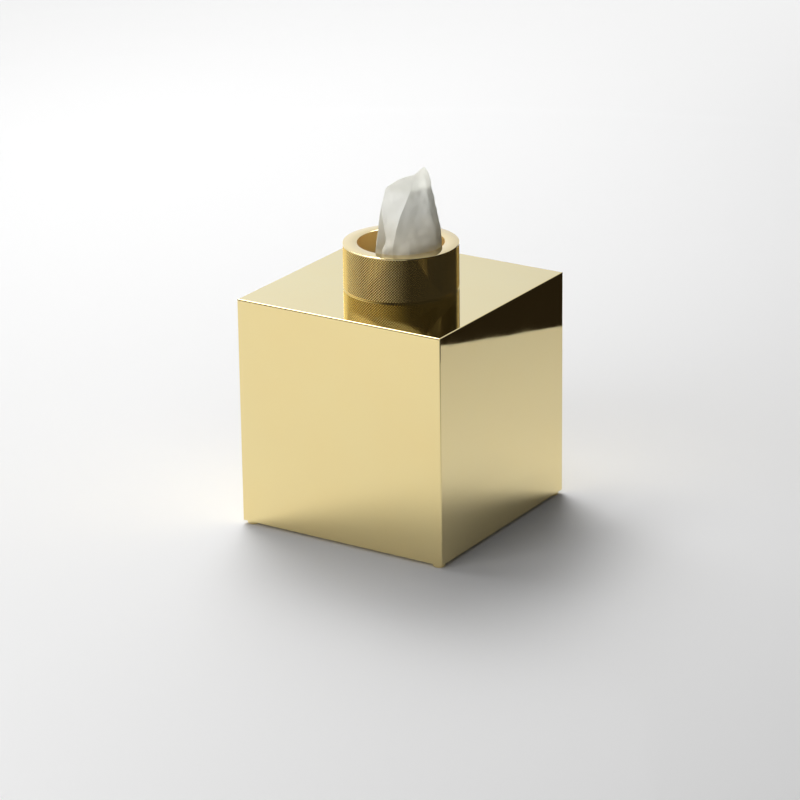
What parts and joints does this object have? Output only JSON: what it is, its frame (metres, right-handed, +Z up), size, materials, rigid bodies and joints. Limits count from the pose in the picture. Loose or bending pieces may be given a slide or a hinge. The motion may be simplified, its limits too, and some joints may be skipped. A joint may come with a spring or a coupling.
{
  "type": "tissue box",
  "caption": "Cube tissue box: polished brass cover with a diamond-knurled collar round its opening, lifted off a footed base tray, with a tissue pulled up through the collar.",
  "frame": {"origin": "centre of the footprint, on the surface that the feet stand on", "axes": "+Z up through the collar, -Y out of the front face, +X to the right of it"},
  "size_m": [0.135, 0.135, 0.2078],
  "materials": {
    "polished_brass": "polished and lacquered, mirror bright",
    "knurled_brass": "turned and diamond knurled, polished ends and bore",
    "foot_brass": "turned, polished",
    "tray_brass": "satin sheet",
    "screw_steel": "plain stainless",
    "stack_paper": "soft matt tissue, folded",
    "tissue_paper": "soft matt tissue, thin and a little see-through"
  },
  "bodies": {
    "base": {"base_tray": "tray_brass", "foot_front_left": "foot_brass", "foot_front_right": "foot_brass", "foot_back_left": "foot_brass", "foot_back_right": "foot_brass", "tissue_stack": "stack_paper", "pulled_tissue": "tissue_paper"},
    "cover": {"cover_shell": "polished_brass", "collar": "knurled_brass", "collar_screws": "screw_steel"}
  },
  "joints": [
    {"name": "cover_lift", "type": "slide", "parent": "base", "child": "cover", "axis": [0, 0, 1], "range_m": [0, 0.21]}
  ]
}
